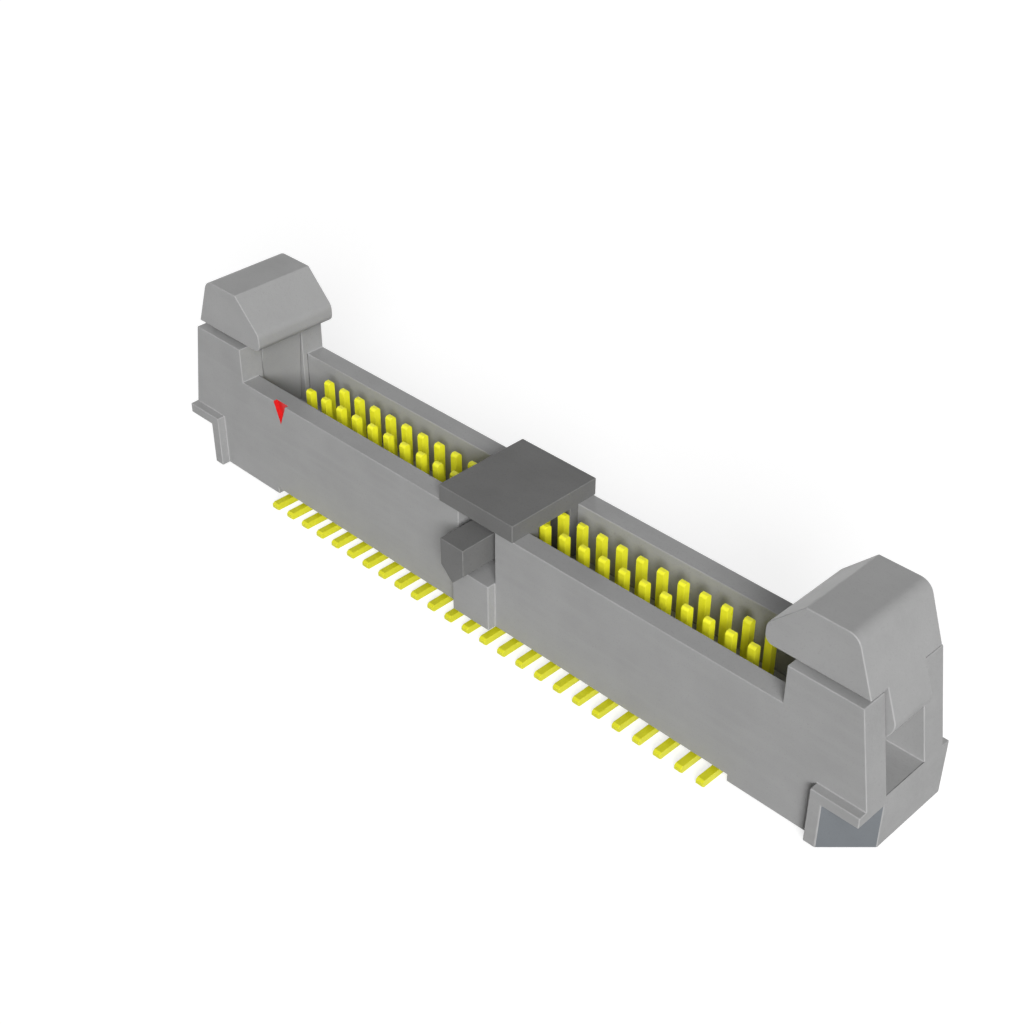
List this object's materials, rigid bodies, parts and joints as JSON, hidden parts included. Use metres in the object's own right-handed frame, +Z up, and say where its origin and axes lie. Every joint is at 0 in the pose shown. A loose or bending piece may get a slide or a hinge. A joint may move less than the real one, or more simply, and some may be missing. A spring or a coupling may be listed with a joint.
{
  "type": "shrouded pin header",
  "caption": "Surface-mount pin header: square posts in rows inside a keyed shroud, with swinging ejector latches at the ends and a pick-and-place pad",
  "frame": {"origin": "middle of the two contact rows, on the board plane under the soldered leads", "axes": "+X along the rows away from the marked contact, -Y towards the wall with the keying slot, +Z up out of the board towards the mating side"},
  "size_m": [0.0462, 0.0083, 0.0115],
  "materials": {
    "housing": "moulded grey, fine matte texture",
    "latch": "moulded grey, fine matte texture",
    "pad": "moulded dark grey, smooth top",
    "contact": "gold plated"
  },
  "bodies": {
    "header": {"housing": "housing", "pick_and_place_pad": "pad", "contact_front_01": "contact", "contact_front_02": "contact", "contact_front_03": "contact", "contact_front_04": "contact", "contact_front_05": "contact", "contact_front_06": "contact", "contact_front_07": "contact", "contact_front_08": "contact", "contact_front_09": "contact", "contact_front_10": "contact", "contact_front_11": "contact", "contact_front_12": "contact", "contact_front_13": "contact", "contact_front_14": "contact", "contact_front_15": "contact", "contact_front_16": "contact", "contact_front_17": "contact", "contact_front_18": "contact", "contact_front_19": "contact", "contact_front_20": "contact", "contact_front_21": "contact", "contact_front_22": "contact", "contact_front_23": "contact", "contact_front_24": "contact", "contact_front_25": "contact", "contact_back_01": "contact", "contact_back_02": "contact", "contact_back_03": "contact", "contact_back_04": "contact", "contact_back_05": "contact", "contact_back_06": "contact", "contact_back_07": "contact", "contact_back_08": "contact", "contact_back_09": "contact", "contact_back_10": "contact", "contact_back_11": "contact", "contact_back_12": "contact", "contact_back_13": "contact", "contact_back_14": "contact", "contact_back_15": "contact", "contact_back_16": "contact", "contact_back_17": "contact", "contact_back_18": "contact", "contact_back_19": "contact", "contact_back_20": "contact", "contact_back_21": "contact", "contact_back_22": "contact", "contact_back_23": "contact", "contact_back_24": "contact", "contact_back_25": "contact"},
    "left_latch": {"left_latch": "latch"},
    "right_latch": {"right_latch": "latch"}
  },
  "joints": [
    {"name": "left_latch_pivot", "type": "hinge", "parent": "header", "child": "left_latch", "pos_m": [-0.02095, 0, 0.0047], "axis": [0, -1, 0], "range_deg": [0, 20]},
    {"name": "right_latch_pivot", "type": "hinge", "parent": "header", "child": "right_latch", "pos_m": [0.02095, 0, 0.0047], "axis": [0, 1, 0], "range_deg": [0, 20]}
  ]
}
